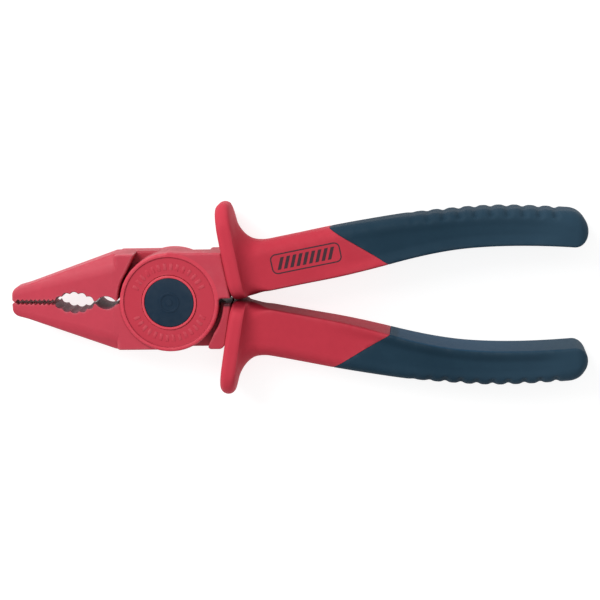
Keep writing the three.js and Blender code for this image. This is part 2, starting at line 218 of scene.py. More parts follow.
def polygon(corners):
    """Distance in plan to a closed outline given as (x, y) corners."""

    def field(x, y):
        best = np.full(np.broadcast(x, y).shape, 1e6)
        inside = np.zeros(best.shape, bool)
        for (x0, y0), (x1, y1) in zip(corners, corners[1:] + corners[:1]):
            ex, ey = x1 - x0, y1 - y0
            wx, wy = x - x0, y - y0
            t = np.clip((wx * ex + wy * ey) / max(ex * ex + ey * ey, 1e-12), 0, 1)
            best = np.minimum(best, (wx - ex * t) ** 2 + (wy - ey * t) ** 2)
            crosses = (y0 <= y) != (y1 <= y)
            left = (wx * ey - wy * ex) * (1 if ey > 0 else -1) < 0
            inside ^= crosses & left
        return np.where(inside, -1, 1) * np.sqrt(best)

    return field


def polar(r, degrees):
    return r * math.cos(math.radians(degrees)), r * math.sin(math.radians(degrees))


def parting(x):
    """Gap from the jaw's face to the middle line, wider towards the joint."""
    t = (x - TIP_X) / (-DISC_R - TIP_X)
    return PARTING_TIP + (PARTING_ROOT - PARTING_TIP) * t


def recess_corners(shape):
    """The hollow in the jaw face, from its front end to its back end."""
    width = shape["to"] - shape["from"]
    depth = shape["depth"]
    r = width * width / 8 / depth + depth / 2
    middle = (shape["from"] + shape["to"]) / 2
    sweep = math.asin(width / 2 / r)
    count = shape["scallops"] * 8 if shape["scallops"] > 1 else 14
    corners = []
    for i in range(count + 1):
        t = i / count
        turn = -sweep + 2 * sweep * t
        reach = r + shape["bite"] * abs(math.sin(math.pi * t * shape["scallops"]))
        x = middle + reach * math.sin(turn)
        corners.append((x, -parting(x) + r - depth - reach * math.cos(turn)))
    return corners


def teeth_corners():
    corners = []
    for i in range(2 * TEETH["count"] + 1):
        x = TEETH["from"] + (TEETH["to"] - TEETH["from"]) * i / (2 * TEETH["count"])
        corners.append((x, -parting(x) - (i % 2) * TEETH["depth"] - TEETH_GAP))
    return corners


def jaw_plan():
    """Outline of the jaw from its rounded tip, round the shoulder, and back along the jaw face."""
    slope = (HEAD_Y - TIP_Y) / (SHOULDER_X - TIP_X)
    rounded = []
    for i in range(TIP_STEPS + 1):
        dx, dy = polar(TIP_ROUND, 180 + 72 * i / TIP_STEPS)
        rounded.append((TIP_X + TIP_ROUND + dx, -TIP_Y + TIP_ROUND * 0.6 + dy))
    corners = rounded + [
        (TIP_X + TIP_ROUND * 2, -TIP_Y - slope * TIP_ROUND * 2),
        (SHOULDER_X, -HEAD_Y),
        (-JAW_WEB_END, -HEAD_Y),
        (-JAW_WEB_END, -PARTING_ROOT),
    ]
    corners += recess_corners(WIRE)[::-1] + recess_corners(PIPE)[::-1] + teeth_corners()[::-1]
    chamfer = [(TIP_X + TIP_CHAMFER[0], -TEETH_GAP), (TIP_X, -TIP_CHAMFER[1])]
    return corners + [(TEETH["from"] - 0.3, -TEETH_GAP)] + chamfer


def plane_through(a, b, c):
    """Distance to the plane through three points, positive on the +Z side."""
    n = (Vector(b) - Vector(a)).cross(Vector(c) - Vector(a)).normalized()
    if n.z < 0:
        n = -n
    offset = n.dot(Vector(a))
    return lambda x, y, z: n.x * x + n.y * y + n.z * z - offset


jaw_outline = polygon(jaw_plan())
lean_x, lean_y = polar(30, 180 - STOP_ANGLE)
jaw_touch = polar(JAW_STOP, 270 - STOP_ANGLE)
shank_touch = polar(SHANK_ARC, SHANK_ARC_END)
jaw_stop = polygon([(0, 0), jaw_touch, (jaw_touch[0] - lean_x, jaw_touch[1] - lean_y), (0, -40)])
shank_stop = polygon([(0, 0), shank_touch, (shank_touch[0] + lean_x, shank_touch[1] + lean_y), (0, 40)])
bevel_plane = plane_through(
    (TIP_X, -TIP_Y + 0.4, TIP_HALF),
    (SHOULDER_X, -HEAD_Y + BEVEL_WIDTH, BODY_HALF),
    (SHOULDER_X, -HEAD_Y, BODY_HALF - BEVEL_DROP),
)


def shank_end(x, y):
    """Distance past the end face of the shank, which lies against the finger guard."""
    s = (x - SPINE_X) * math.cos(SPINE_ANGLE) + (y - SPINE_Y) * math.sin(SPINE_ANGLE)
    o = -(x - SPINE_X) * math.sin(SPINE_ANGLE) + (y - SPINE_Y) * math.cos(SPINE_ANGLE)
    return s - (GUARD["from"] - GUARD_GAP) - o * GUARD_LEAN


def jaw_field(x, y, z):
    """The jaw: its outline, thinner towards the tip, with a bevel along the outer edge."""
    t = np.clip((x - TIP_X + 1) / (SHOULDER_X - TIP_X + 1), 0, 1)
    half = TIP_HALF + (BODY_HALF - TIP_HALF) * t
    away = np.clip((np.abs(y) - 1.5) / 2.5, 0, 1)
    body = rmax(jaw_outline(x, y), np.abs(z) - half, 0.15 + 0.35 * away)
    runout = (SHOULDER_X + BEVEL_END - x) * BEVEL_RUNOUT
    return rmax(body, np.minimum(bevel_plane(x, y, np.abs(z)), runout), EDGE_ROUND["bevel"])


def box_plan(x, y, x0, x1, y0, y1):
    return np.maximum(np.maximum(x0 - x, x - x1), np.maximum(y0 - y, y - y1))


def lever_field(x, y, z):
    """One lever without its tang, which is lofted apart."""
    r = length2(x, y)
    # joint plate and the near half of the shank, in one outline
    near = np.maximum(box_plan(x, y, 0, 60, PLATE_BOTTOM, PLATE_TOP), shank_end(x, y))
    plan = rmin(r - DISC_R, near, EDGE_ROUND["root"])
    plate = rmax(plan, z - PLATE_HALF, EDGE_ROUND["plate"])
    plate = rmax(plate, LAP_GAP - z, PART_ROUND)
    # far half of the shank
    far = np.maximum(box_plan(x, y, 0, 60, BLOCK_BOTTOM, 60), shank_end(x, y))
    far = rmax(rmax(far, -shank_stop(x, y), PART_ROUND), y - BLOCK_TOP, EDGE_ROUND["corner"])
    block = rmax(far, -z - BODY_HALF, EDGE_ROUND["block"])
    block = np.maximum(block, z - LAP_GAP - BLOCK_OVERLAP)
    body = np.minimum(jaw_field(x, y, z), block)
    # room for the other lever's joint plate
    pocket = np.maximum(r - SHANK_ARC, np.maximum(-x, -y))
    clear = np.minimum(np.minimum(r - JAW_ARC, jaw_stop(x, y)), np.minimum(pocket, shank_stop(x, y)))
    body = rmax(body, -np.maximum(clear, z - LAP_GAP), EDGE_ROUND["lap"])
    made = rmin(body, plate, JOIN_FILLET)
    # face of the joint: a shallow turned ring between the rim and the pin head
    face = np.maximum(r - FACE_R, PLATE_HALF - FACE_DEPTH - z)
    made = rmax(made, -face, EDGE_ROUND["face"])
    # seat of the pin's head, bore, and seat of the slip ring between the plates
    seat = np.maximum(r - PIN_HEAD_R - SEAT_ROOM, SEAT_Z - z)
    made = rmax(made, -seat, SEAT_ROOM)
    made = np.maximum(made, PIN_BORE_R - r)
    washer_seat = np.maximum(r - WASHER_SEAT_R, z - WASHER_SEAT_Z)
    return np.maximum(made, -washer_seat)


def gradient(field, p):
    h = 0.04
    g = np.empty_like(p)
    for axis in range(3):
        step = np.zeros(3)
        step[axis] = h
        a, b = p + step, p - step
        g[:, axis] = field(a[:, 0], a[:, 1], a[:, 2]) - field(b[:, 0], b[:, 1], b[:, 2])
    return g / (2 * h)


def on_surface(field, p, times=2):
    """Moves points onto the zero surface of the field."""
    for _ in range(times):
        value = field(p[:, 0], p[:, 1], p[:, 2])
        g = gradient(field, p)
        move = (value / np.maximum((g * g).sum(1), 0.2))[:, None] * g
        size = np.linalg.norm(move, axis=1, keepdims=True)
        p = p - move * np.minimum(1, 0.4 * VOXEL / np.maximum(size, 1e-9))
    return p


def meshed_field(field, low, high):
    """Points and quads of the field's zero surface."""
    axes = [np.arange(a, b + VOXEL, VOXEL) for a, b in zip(low, high)]
    x, y, z = axes[0][:, None, None], axes[1][None, :, None], axes[2][None, None, :]
    values = field(x, y, z).astype(np.float32)
    grid = openvdb.FloatGrid(float(values.max()))
    grid.copyFromArray(np.clip(values, -4 * VOXEL, 4 * VOXEL))
    points, quads = grid.convertToQuads(0.0)
    return points * VOXEL + np.array(low), quads


# ======== Meshes ========
CURVE_GAIN = 0.8


def built(name, points, faces, material, turned_over=False, sharp=None):
    """A mesh object from drawing points; turned_over rotates it half a turn about the long axis."""
    p = np.array(points, float)
    if turned_over:
        p = p * [1, -1, -1]
    mesh = bpy.data.meshes.new(name)
    mesh.from_pydata((p * MM + np.array(PIVOT)).tolist(), [], [list(map(int, f)) for f in faces])
    mesh.validate()
    mesh.polygons.foreach_set("use_smooth", [True] * len(mesh.polygons))
    if sharp is not None:
        mesh.set_sharp_from_angle(angle=math.radians(sharp))
    mesh.materials.append(material)
    add_curvature(mesh)
    made = bpy.data.objects.new(name, mesh)
    bpy.context.scene.collection.objects.link(made)
    return made


def add_curvature(mesh):
    """Stores how convex and how hollow the surface is at each vertex, for edge wear and for painted shade in
    the hollows.
    """
    count = len(mesh.vertices)
    co = np.empty(count * 3)
    no = np.empty(count * 3)
    mesh.vertices.foreach_get("co", co)
    mesh.vertices.foreach_get("normal", no)
    co, no = co.reshape(-1, 3) / MM, no.reshape(-1, 3)
    edge = np.empty(len(mesh.edges) * 2, int)
    mesh.edges.foreach_get("vertices", edge)
    a, b = edge.reshape(-1, 2).T
    gap = co[a] - co[b]
    bend = ((no[a] - no[b]) * gap).sum(1) / np.maximum((gap * gap).sum(1), 0.02)
    shares = np.bincount(a, minlength=count) + np.bincount(b, minlength=count)
    shares = np.maximum(shares, 1)
    value = (np.bincount(a, bend, count) + np.bincount(b, bend, count)) / shares
    for _ in range(2):
        around = np.bincount(a, value[b], count) + np.bincount(b, value[a], count)
        value = 0.4 * value + 0.6 * around / shares
    for name, amount in (("edge", value * CURVE_GAIN), ("hollow", -value * CURVE_GAIN)):
        made = mesh.attributes.new(name, "FLOAT", "POINT")
        made.data.foreach_set("value", np.clip(amount, 0, 1).astype(np.float32))


def thinned(obj, most):
    """Reduces an object's mesh to about that many triangles."""
    count = sum(len(p.vertices) - 2 for p in obj.data.polygons)
    if count <= most:
        return obj.data
    modifier = obj.modifiers.new("thin", "DECIMATE")
    modifier.ratio = most / count
    bpy.context.view_layer.update()
    thin = bpy.data.meshes.new_from_object(obj.evaluated_get(bpy.context.evaluated_depsgraph_get()))
    obj.modifiers.clear()
    return thin


def mesh_arrays(mesh):
    co = np.empty(len(mesh.vertices) * 3)
    mesh.vertices.foreach_get("co", co)
    return co.reshape(-1, 3), [list(p.vertices) for p in mesh.polygons]


def signed_volume(points, faces):
    total = 0.0
    for f in faces:
        for k in range(1, len(f) - 1):
            total += np.dot(points[f[0]], np.cross(points[f[k]], points[f[k + 1]]))
    return total


def lever_mesh():
    low = (TIP_X - 1, -DISC_R - 1, -PLATE_HALF - 1)
    high = (28, DISC_R + 1.5, PLATE_HALF + 1)
    points, quads = meshed_field(lever_field, low, high)
    p = points[quads]
    volume = np.einsum("ij,ij->i", p[:, 0], np.cross(p[:, 1], p[:, 2])).sum()
    if volume < 0:
        quads = quads[:, ::-1]
    points = on_surface(lever_field, points)
    raw = bpy.data.meshes.new("lever_raw")
    raw.from_pydata(points.tolist(), [], quads.tolist())
    holder = bpy.data.objects.new("lever_raw", raw)
    bpy.context.scene.collection.objects.link(holder)
    thin = thinned(holder, MOST_TRIANGLES)
    points, faces = mesh_arrays(thin)
    bpy.data.objects.remove(holder)
    points = on_surface(lever_field, points, 1)
    normals = gradient(lever_field, points)
    normals /= np.maximum(np.linalg.norm(normals, axis=1, keepdims=True), 1e-9)
    return points, faces, normals


# ======== Handle ========
def lerp(a, b, t):
    return a + (b - a) * t


def smooth(s, a, b):
    t = np.clip((s - a) / (b - a), 0, 1)
    return t * t * (3 - 2 * t)


def beside(s, o):
    """A point in plan at s along the handle's centre line and o outwards from it."""
    along = np.minimum(s, SPINE_STRAIGHT)
    bend = np.maximum(0, s - SPINE_STRAIGHT) / SPINE_RADIUS
    a = SPINE_ANGLE - bend
    x = SPINE_X + along * math.cos(SPINE_ANGLE) + SPINE_RADIUS * (math.sin(SPINE_ANGLE) - np.sin(a))
    y = SPINE_Y + along * math.sin(SPINE_ANGLE) + SPINE_RADIUS * (np.cos(a) - math.cos(SPINE_ANGLE))
    return x - np.sin(a) * o, y + np.cos(a) * o


def inset(d, r):
    """How far a rounded end of radius r pulls the surface in, at a distance d from the end."""
    d = np.clip(d, 0, r)
    return r - np.sqrt(np.maximum(0, r * r - (r - d) ** 2))


def guard_rise(s, rise, rounding, fall):
    """Height of the guard: a rounded bead, then from a share of its height a hollow fall to the handle."""
    top = BEAD_SHARE * rise
    drop = np.minimum(rise - top, rounding)
    start = GUARD_END - rounding + np.sqrt(rounding**2 - (rounding - drop) ** 2)
    front = rise - inset(s - GUARD["from"], rounding)
    back = rise - inset(GUARD_END - s, rounding)
    t = np.clip((s - start) / fall, 0, 1)
    away = top * (1 - np.sqrt(np.maximum(0, 1 - (1 - t) ** 2))) ** 1.25
    return np.where(s < GUARD["from"] + GUARD["thick"] / 2, front, np.where(s < start, back, away))


def ridge_depth(s):
    """Scooped notches across the outer side of the soft grip, deeper towards the end."""
    t = (s - RIDGE_FROM) / RIDGE_PITCH
    grow = np.clip(t / 3 + 0.35, 0, 1) * np.clip((RIDGE_COUNT + 0.4 - t) * 4, 0, 1)
    wave = 0.5 + 0.5 * np.cos(2 * math.pi * t)
    return np.where((t > -0.5) & (t < RIDGE_COUNT + 0.5), grow * wave**2, 0)


def handle_form(s):
    """Reach of the handle from its centre line at s, outwards, inwards and along Z."""
    t_belly, t_end = smooth(s, *BELLY_SPAN), smooth(s, *END_SPAN)
    outer = lerp(lerp(NECK["outer"], BELLY["outer"], t_belly), END["outer"], t_end)
    inner = lerp(lerp(NECK["inner"], BELLY["inner"], t_belly), END["inner"], t_end)
    half = lerp(NECK["half"], BELLY["half"], smooth(s, *BELLY_THICKENS))
    rise = guard_rise(s, GUARD["outer"] - outer, BEAD_ROUND["outer"], GUARD_FALL["outer"])
    lobe = (GUARD["inner"] - inner) * (1 - smooth(s, *LOBE_FALL))
    lobe = lobe - inset(s - GUARD["from"], BEAD_ROUND["inner"])
    swell = guard_rise(s, GUARD["half"] - half, BEAD_ROUND["half"], GUARD_FALL["half"])
    return (
        outer + rise - inset(LENGTH - s, END_ROUND["outer"]),
        inner + lobe - inset(LENGTH - s, END_ROUND["inner"]),
        half + swell - inset(LENGTH - s, END_ROUND["half"]),
    )


SIDE, SOFT, FACE, CRISP, BACK = 5, 16, 16, 7, 5  # points along each stretch of a ring


def section(outer, inner, half, soft, crisp, crown, dish=0.0):
    """A closed ring of (o, z) points: a rounded bar with soft outer corners and crisp inner ones.

    crown lowers the edges of the faces; dish leaves a lip along the inner edge and lowers the rest.
    """
    soft = min(soft, half * 0.98, (outer + inner) * 0.6)
    crisp = min(crisp, half * 0.9, (outer + inner) * 0.38)
    upper = [(outer, (half - soft) * k / SIDE) for k in range(SIDE)]
    for k in range(SOFT):
        a = math.pi / 2 * k / SOFT
        upper.append((outer - soft + soft * math.cos(a), half - soft + soft * math.sin(a)))
    left, right = -(inner - crisp), outer - soft
    for k in range(FACE):
        upper.append((lerp(right, left, k / FACE), half))
    for k in range(CRISP):
        a = math.pi / 2 * (1 + k / CRISP)
        upper.append((-inner + crisp + crisp * math.cos(a), half - crisp + crisp * math.sin(a)))
    for k in range(BACK):
        upper.append((-inner, (half - crisp) * (1 - k / BACK)))
    o = np.array([p[0] for p in upper])
    z = np.array([p[1] for p in upper])
    middle, reach = (outer - inner) / 2, (outer + inner) / 2
    across = ((o - middle) / reach) ** 2
    low = dish * smooth(o + inner, 0.7, 4.6) * (1 - smooth(o - outer, -6, -1))
    z = z * (1 - crown / half * across) * (1 - low / half)
    ring_o = np.concatenate([o, [-inner], o[1:][::-1]])
    ring_z = np.concatenate([z, [0], -z[1:][::-1]])
    return ring_o, ring_z


def form_ring(s):
    """Ring of the outer form at s, with the guard and the ridges; returns (s, o, z) arrays."""
    outer, inner, half = (float(v) for v in handle_form(np.array(s)))
    behind = float(smooth(np.array(s), GUARD_END, GUARD_END + 9))
    soft, crisp, crown = (lerp(v["guard"], v["handle"], behind) for v in (SOFT_ROUND, CRISP_ROUND, CROWN))
    dish = float(smooth(np.array(s), *DISH_SPAN) * (1 - smooth(np.array(s), LENGTH - 20, LENGTH - 6)))
    o, z = section(outer, inner, half, soft, crisp, crown, DISH_DEPTH * dish)
    depth = float(ridge_depth(np.array(s)))
    if depth > 0:
        wrap = np.clip((o - (outer - RIDGE_REACH)) / 1.6, 0, 1)
        corner = wrap * (0.6 + 0.9 * np.clip(np.abs(z) / half, 0, 1))
        o = o - RIDGE_DEPTH * depth * wrap * corner
        z = z - np.sign(z) * RIDGE_DEPTH * depth * corner * np.clip(np.abs(z) / half, 0, 1) * 1.1
    lean = GUARD_LEAN * (1 - float(smooth(np.array(s), GUARD_END, GUARD_END + 12)))
    return s + o * lean, o, z


def seam_at(o, shift=0.0):
    t = (SEAM_REACH - o) / (2 * SEAM_REACH)
    return lerp(SEAM_OUTER, SEAM_INNER, t) + shift


def seam_ring(share, start, shift, pull=0.0):
    """A ring between the plain station start (share 0) and the slanting seam (share 1)."""
    _, o, z = form_ring(start)
    # each point's place along the handle depends on how far out it is, so it is settled in rounds
    for _ in range(4):
        s = lerp(start, seam_at(o, shift), share)
        rings = [form_ring(v) for v in s]
        o = np.array([ring[1][i] for i, ring in enumerate(rings)])
        z = np.array([ring[2][i] for i, ring in enumerate(rings)])
    size = np.maximum(length2(o, z), 1e-6)
    return s, o * (1 - pull / size), z * (1 - pull / size)


def core_ring(s, extra):
    """Ring of the sleeve's core inside the soft grip."""
    outer, inner, half = (float(v) for v in handle_form(np.array(min(s, LENGTH - 7))))
    cut = GRIP_WALL - extra
    o, z = section(outer - cut - 0.6, inner - cut, half - cut, 4.0, 1.5, 0.2)
    return s + 0 * o, o, z


def tang_ring(s, extra):
    """Ring of the lever's tang inside the sleeve, or of the hollow round it."""
    width = lerp(6.4, 2.2, float(smooth(np.array(s), 0, 110))) + extra
    half = lerp(5.6, 4.0, float(smooth(np.array(s), 0, 30))) + extra
    o, z = section(width, width, half, 1.2, 1.2, 0.0)
    return s + 0 * o, o, z


def lofted(rings):
    """Points and faces of a closed body through rings of (s, o, z), closed at both ends."""
    points, faces = [], []
    n = len(rings[0][1])
    for s, o, z in rings:
        x, y = beside(np.asarray(s, float) + 0 * o, o)
        points.append(np.stack([x, y, z], 1))
    for j in range(len(rings) - 1):
        for i in range(n):
            a, b = j * n + i, j * n + (i + 1) % n
            faces.append((a, b, b + n, a + n))
    total = len(rings) * n
    for j, flip in ((0, True), (len(rings) - 1, False)):
        points.append(points[j].mean(0)[None, :])
        for i in range(n):
            a, b = j * n + i, j * n + (i + 1) % n
            faces.append((total, b, a) if flip else (total, a, b))
        total += 1
    points = np.concatenate(points)
    if signed_volume(points, faces) < 0:
        faces = [f[::-1] for f in faces]
    return points, faces


def spaced(a, b, step):
    return np.linspace(a, b, max(2, int(round((b - a) / step)) + 1))


def guard_stations():
    r = BEAD_ROUND["outer"]
    front = [GUARD["from"] + r * (1 - math.cos(math.pi / 2 * k / 10)) for k in range(11)]
    back = [GUARD_END - r + r * math.sin(math.pi / 2 * k / 8) for k in range(1, 9)]
    fall = [GUARD_END + 14 * (k / 26) ** 1.7 for k in range(1, 27)]
    return front + back + fall


TANG_END = LENGTH - 12
CORE_END = LENGTH - 6
SEAM_SHARES = (0.15, 0.35, 0.55, 0.75, 0.9, 0.985)


def sleeve_mesh():
    rings = [tang_ring(s, 0.3) for s in (TANG_END + 0.3, 90, 60, 30, 10, GUARD["from"] + 0.4)]
    rings += [(r[0] + r[1] * GUARD_LEAN, r[1], r[2]) for r in [tang_ring(GUARD["from"], 0.5)]]
    stations = guard_stations()
    last = stations[-1]
    rings += [form_ring(s) for s in stations]
    rings += [form_ring(s) for s in spaced(last, SLEEVE_PLAIN_TO, 1.5)[1:]]
    rings += [seam_ring(t, SLEEVE_PLAIN_TO, -SLEEVE_GAP) for t in SEAM_SHARES]
    rings += [seam_ring(1, SLEEVE_PLAIN_TO, -SLEEVE_GAP, SEAM_PULL)]
    s, o, z = core_ring(CORE_FROM, 0)
    rings += [(seam_at(o, -SLEEVE_GAP), o, z)]
    rings += [core_ring(s, 0) for s in (70, 85, 100, 115, 124, CORE_END - 2, CORE_END)]
    return lofted(rings)


def grip_mesh():
    rings = [core_ring(s, 0.2) for s in (CORE_END + 0.3, CORE_END - 2, 124, 115, 100, 85, 70)]
    s, o, z = core_ring(CORE_FROM, 0.2)
    rings += [(seam_at(o, SLEEVE_GAP), o, z)]
    rings += [seam_ring(1, GRIP_PLAIN_FROM, SLEEVE_GAP, SEAM_PULL)]
    rings += [seam_ring(t, GRIP_PLAIN_FROM, SLEEVE_GAP) for t in SEAM_SHARES[::-1] + (0,)]
    rings += [form_ring(s) for s in spaced(GRIP_PLAIN_FROM, RIDGE_FROM - 4, 1.5)[1:]]
    rings += [form_ring(s) for s in spaced(RIDGE_FROM - 4, LENGTH - END_ROUND["outer"], 0.36)[1:]]
    turns = [math.sin(math.pi / 2 * k / 16) for k in range(1, 17)]
    rings += [form_ring(LENGTH - END_ROUND["outer"] * (1 - t)) for t in turns]
    return lofted(rings)


def face_bars():
    """Low radial bars on the joint face, in two groups, each with sloping sides and its foot in the face."""
    points, faces = [], []
    floor = PLATE_HALF - FACE_DEPTH
    for k in range(BAR_COUNT):
        a = 2 * math.pi * (k + 0.5) / BAR_COUNT
        if abs(BAR_R * math.sin(a)) < BAR_GAP:
            continue
        start = len(points)
        for z, slope in ((floor - 0.1, 0.0), (floor, 0.0), (floor + BAR_HEIGHT, 0.2)):
            for along, side in ((-1, -1), (1, -1), (1, 1), (-1, 1)):
                r = BAR_R + along * (BAR_LENGTH / 2 - slope)
                t = side * (BAR_WIDTH / 2 - slope)
                points.append((r * math.cos(a) - t * math.sin(a), r * math.sin(a) + t * math.cos(a), z))
        for ring in (start, start + 4):
            for i in range(4):
                j = (i + 1) % 4
                faces.append((ring + i, ring + j, ring + 4 + j, ring + 4 + i))
        faces.append((start + 3, start + 2, start + 1, start))
        faces.append((start + 8, start + 9, start + 10, start + 11))
    return np.array(points), faces


def tang_mesh():
    return lofted([tang_ring(s, 0) for s in (-1, 10, 20, 30, 45, 60, 80, 100, TANG_END)])


# ======== Pieces turned on the pivot axis ========
def turned(profile, steps=128):
    """A solid of revolution from (r, z) corners, closed."""
    points, faces = [], []
    n = len(profile)
    for i in range(steps):
        a = 2 * math.pi * i / steps
        points += [(r * math.cos(a), r * math.sin(a), z) for r, z in profile]
    for i in range(steps):
        j = (i + 1) % steps
        for k in range(n):
            m = (k + 1) % n
            faces.append((i * n + k, j * n + k, j * n + m, i * n + m))
    points = np.array(points)
    if signed_volume(points, faces) < 0:
        faces = [f[::-1] for f in faces]
    return points, faces


def rounded_corners(corners, radii, steps=5):
    """The closed outline with each corner replaced by an arc of its radius."""
    out = []
    n = len(corners)
    for i, r in enumerate(radii):
        p = Vector(corners[i])
        a = (Vector(corners[i - 1]) - p).normalized()
        b = (Vector(corners[(i + 1) % n]) - p).normalized()
        if r <= 0:
            out.append(tuple(p))
            continue
        angle = a.angle(b)
        reach = r / math.tan(angle / 2)
        centre = p + (a + b).normalized() * (r / math.sin(angle / 2))
        start, end = p + a * reach - centre, p + b * reach - centre
        for k in range(steps + 1):
            v = start.slerp(end, k / steps)
            out.append(tuple(centre + v.normalized() * r))
    return out


# ======== Materials ========
GRAIN_SIZE = 0.00028
GRAIN_HEIGHT = 0.00012
BROAD_SCALE = 55.0
STREAK_SCALE = 420.0
PATCH_SCALE = 300.0


class Tree:
    """Short names for adding and joining shader nodes."""

    def __init__(self, name):
        self.material = bpy.data.materials.new(name)
        self.material.use_nodes = True
        self.nodes = self.material.node_tree.nodes
        self.links = self.material.node_tree.links
        self.surface = self.nodes["Principled BSDF"]

    def add(self, kind, **values):
        node = self.nodes.new("ShaderNode" + kind)
        for key, value in values.items():
            setattr(node, key, value)
        return node

    def put(self, socket, value):
        if isinstance(value, bpy.types.NodeSocket):
            self.links.new(value, socket)
        elif isinstance(value, tuple) and len(value) == 3 and socket.type == "RGBA":
            socket.default_value = (*value, 1)
        else:
            socket.default_value = value

    def math(self, operation, a, b=0.0, c=0.0, clamp=False):
        node = self.add("Math", operation=operation, use_clamp=clamp)
        for socket, value in zip(node.inputs, (a, b, c)):
            self.put(socket, value)
        return node.outputs[0]

    def mix(self, factor, a, b, how="MIX"):
        node = self.add("Mix", data_type="RGBA", blend_type=how)
        self.put(node.inputs[0], factor)
        self.put(node.inputs[6], a)
        self.put(node.inputs[7], b)
        return node.outputs[2]

    def noise(self, scale, detail=3.0, rough=0.55, vector=None):
        node = self.add("TexNoise")
        self.put(node.inputs["Scale"], scale)
        self.put(node.inputs["Detail"], detail)
        self.put(node.inputs["Roughness"], rough)
        if vector is not None:
            self.put(node.inputs["Vector"], vector)
        return node.outputs["Fac"]

    def ramp(self, value, low, high, to_low=0.0, to_high=1.0):
        node = self.add("MapRange")
        for socket, v in zip(node.inputs, (value, low, high, to_low, to_high)):
            self.put(socket, v)
        return node.outputs[0]

    def attribute(self, name):
        return self.add("Attribute", attribute_name=name).outputs["Fac"]


def plastic(name, colour, rough, mottle, grain, wear, extra=None, gloss=0.3):
    """Moulded plastic: mottled colour, fine grain, paler worn edges, and painted shade in the hollows."""
    t = Tree(name)
    place = t.add("TexCoord").outputs["Object"]
    broad = t.noise(BROAD_SCALE, 4.0, vector=place)
    fine = t.noise(1 / GRAIN_SIZE, 2.0, vector=place)
    streaks = t.noise(STREAK_SCALE, 3.0, vector=place)
    light = tuple(min(1, c * (1 + mottle) + 0.01 * mottle) for c in colour)
    dark = tuple(c * (1 - mottle) for c in colour)
    shade = t.mix(t.ramp(broad, 0.3, 0.7), dark, light)
    shade = t.mix(t.ramp(streaks, 0.35, 0.75, 0, 0.35), shade, tuple(c * 0.9 for c in colour))
    patches = t.ramp(t.noise(PATCH_SCALE, 4.0, vector=place), 0.35, 0.65)
    edge = t.math("MULTIPLY", t.attribute("edge"), patches)
    pale = tuple(lerp(c, 1, 0.22) for c in colour)
    shade = t.mix(t.math("MULTIPLY", edge, wear, clamp=True), shade, pale)
    # painted shade: the hollows are darkened
    hollow = t.math("MULTIPLY", t.attribute("hollow"), 0.5, clamp=True)
    shade = t.mix(hollow, shade, tuple(c * 0.45 for c in colour))
    roughness = t.math("ADD", rough - 0.06, t.math("MULTIPLY", streaks, 0.12))
    roughness = t.math("SUBTRACT", roughness, t.math("MULTIPLY", edge, 0.12))
    if extra is not None:
        shade, roughness = extra(t, shade, roughness)
    t.put(t.surface.inputs["Base Color"], shade)
    t.put(t.surface.inputs["Roughness"], roughness)
    t.surface.inputs["IOR"].default_value = 1.5
    t.surface.inputs["Specular IOR Level"].default_value = gloss
    bump = t.add("Bump")
    bump.inputs["Strength"].default_value = grain
    bump.inputs["Distance"].default_value = GRAIN_HEIGHT
    t.put(bump.inputs["Height"], fine)
    t.links.new(bump.outputs["Normal"], t.surface.inputs["Normal"])
    return t.material


def badge_print(t, shade, roughness):
    """A plain printed panel: a rounded outline round a row of slanted bars."""
    u, v = t.attribute("badge_u"), t.attribute("badge_v")
    straight_v, straight_u = BADGE["half_width"] - BADGE["corner"], BADGE["half_length"] - BADGE["corner"]
    across = t.math("MAXIMUM", t.math("SUBTRACT", t.math("ABSOLUTE", v), straight_v), 0.0)
    along = t.math("MAXIMUM", t.math("SUBTRACT", t.math("ABSOLUTE", u), straight_u), 0.0)
    corner = t.math("SQRT", t.math("ADD", t.math("POWER", along, 2.0), t.math("POWER", across, 2.0)))
    panel = t.math("SUBTRACT", corner, BADGE["corner"])
    line = t.ramp(t.math("ABSOLUTE", t.math("ADD", panel, 0.22)), 0.2, 0.3, 1, 0)
    slanted = t.math("ADD", u, t.math("MULTIPLY", v, -0.45))
    wave = t.math("PINGPONG", t.math("ADD", slanted, 96.0), 1.2)
    height = t.ramp(t.math("ABSOLUTE", v), 2.2, 2.35, 1, 0)
    bars = t.math("MULTIPLY", t.ramp(wave, 0.62, 0.76, 1, 0), height)
    bars = t.math("MULTIPLY", bars, t.ramp(t.math("ABSOLUTE", slanted), 10.5, 10.55, 1, 0))
    ink = t.math("MAXIMUM", line, bars)
    ink = t.math("MULTIPLY", t.math("MULTIPLY", ink, t.attribute("badge_side")), 0.93)
    return t.mix(ink, shade, INK), t.math("SUBTRACT", roughness, t.math("MULTIPLY", ink, 0.08))


def sleeve_side(t, shade, roughness):
    """Painted shade on the sleeve's inner side, darkest beside the guard, whose bead is made paler as a
    painted highlight.
    """
    shade = t.mix(t.math("MULTIPLY", t.attribute("bead"), 0.5), shade, BEAD_HIGHLIGHT_RED)
    return t.mix(t.attribute("inner"), shade, SLEEVE_SIDE_SHADE), roughness


def printed_sleeve(t, shade, roughness):
    """The upper sleeve, which carries the printed panel."""
    shade, roughness = sleeve_side(t, shade, roughness)
    return badge_print(t, shade, roughness)


def grip_side(t, shade, roughness):
    """The soft grip gets painted light along its inner side, and turns paler towards its end."""
    shade = t.mix(t.math("MULTIPLY", t.attribute("end_pale"), 0.45), shade, GRIP_END_PALE)
    return t.mix(t.attribute("inner"), shade, GRIP_SIDE_LIGHT), roughness


